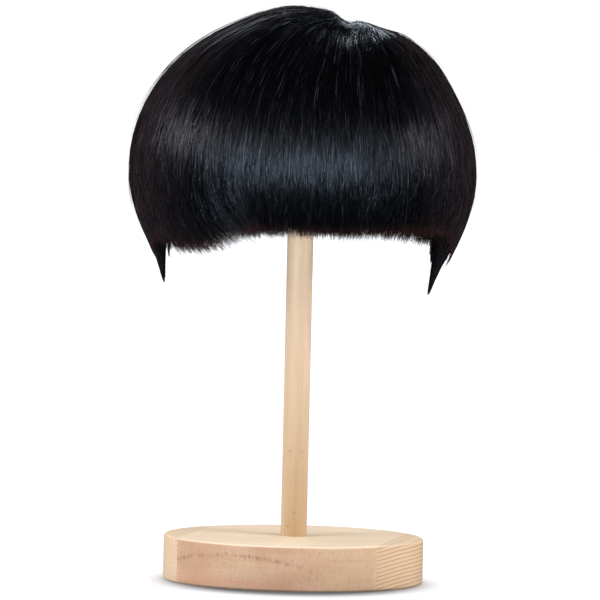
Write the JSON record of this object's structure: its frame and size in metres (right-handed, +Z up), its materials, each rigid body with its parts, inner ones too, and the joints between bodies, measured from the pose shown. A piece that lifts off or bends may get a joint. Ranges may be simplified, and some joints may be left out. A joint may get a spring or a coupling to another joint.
{
  "type": "costume wig",
  "caption": "Short straight near-black bowl-cut wig with a full fringe and pointed sideburns, resting on a wooden wig stand with a round base.",
  "frame": {"origin": "centre of the stand's underside", "axes": "+Z up along the post, the fringe faces -Y, +X is the viewer's right when facing the fringe"},
  "size_m": [0.2008, 0.2298, 0.331],
  "materials": {
    "pine_board": "satin",
    "pine_strip": "satin",
    "pine_post": "satin",
    "pine_dome": "satin",
    "screw": "satin",
    "net": "matte",
    "crown_disc": "matte",
    "front_band": "matte",
    "binding": "matte",
    "elastic": "matte",
    "ear_tab": "matte",
    "stay": "satin",
    "loop_tape": "matte",
    "sleeve": "matte",
    "hook": "gloss",
    "weft": "matte",
    "hair": "satin",
    "under_hair": "satin"
  },
  "bodies": {
    "stand": {"base_centre_board": "pine_board", "base_left_strip": "pine_strip", "base_right_strip": "pine_strip", "base_screw": "screw", "post": "pine_post", "dome": "pine_dome"},
    "wig": {"crown_net": "net", "crown_disc": "crown_disc", "front_band": "front_band", "side_binding_left": "binding", "side_binding_right": "binding", "nape_band": "elastic", "loop_tape": "loop_tape", "strap_sleeve_left": "sleeve", "strap_sleeve_right": "sleeve", "weft_1": "weft", "weft_2": "weft", "weft_3": "weft", "weft_4": "weft", "weft_5": "weft", "weft_6": "weft", "hair_whorl": "hair", "hair_fringe": "hair", "hair_left": "hair", "hair_right": "hair", "hair_back": "hair", "under_fringe": "under_hair", "under_left": "under_hair", "under_right": "under_hair", "under_back": "under_hair"},
    "ear_tab_left": {"ear_tab_left": "ear_tab", "ear_stay_left": "stay", "sideburn_left": "hair"},
    "ear_tab_right": {"ear_tab_right": "ear_tab", "ear_stay_right": "stay", "sideburn_right": "hair"},
    "strap_left": {"strap_left": "elastic", "hook_left": "hook"},
    "strap_right": {"strap_right": "elastic", "hook_right": "hook"}
  },
  "joints": [
    {"name": "wig_lift", "type": "slide", "parent": "stand", "child": "wig", "axis": [0, 0, 1], "range_m": [0, 0.08]},
    {"name": "ear_tab_left_fold", "type": "hinge", "parent": "wig", "child": "ear_tab_left", "pos_m": [-0.0773, -0.0042, 0.213], "axis": [0.0351, -0.9994, 0], "range_deg": [0, 25]},
    {"name": "ear_tab_right_fold", "type": "hinge", "parent": "wig", "child": "ear_tab_right", "pos_m": [0.0773, -0.0042, 0.213], "axis": [0.0351, 0.9994, 0], "range_deg": [0, 25]},
    {"name": "strap_left_slide", "type": "hinge", "parent": "wig", "child": "strap_left", "pos_m": [0, 0.034, 0.21], "axis": [0, 0, -1], "range_deg": [-6, 6]},
    {"name": "strap_right_slide", "type": "hinge", "parent": "wig", "child": "strap_right", "pos_m": [0, 0.034, 0.21], "axis": [0, 0, 1], "range_deg": [-6, 6]}
  ]
}
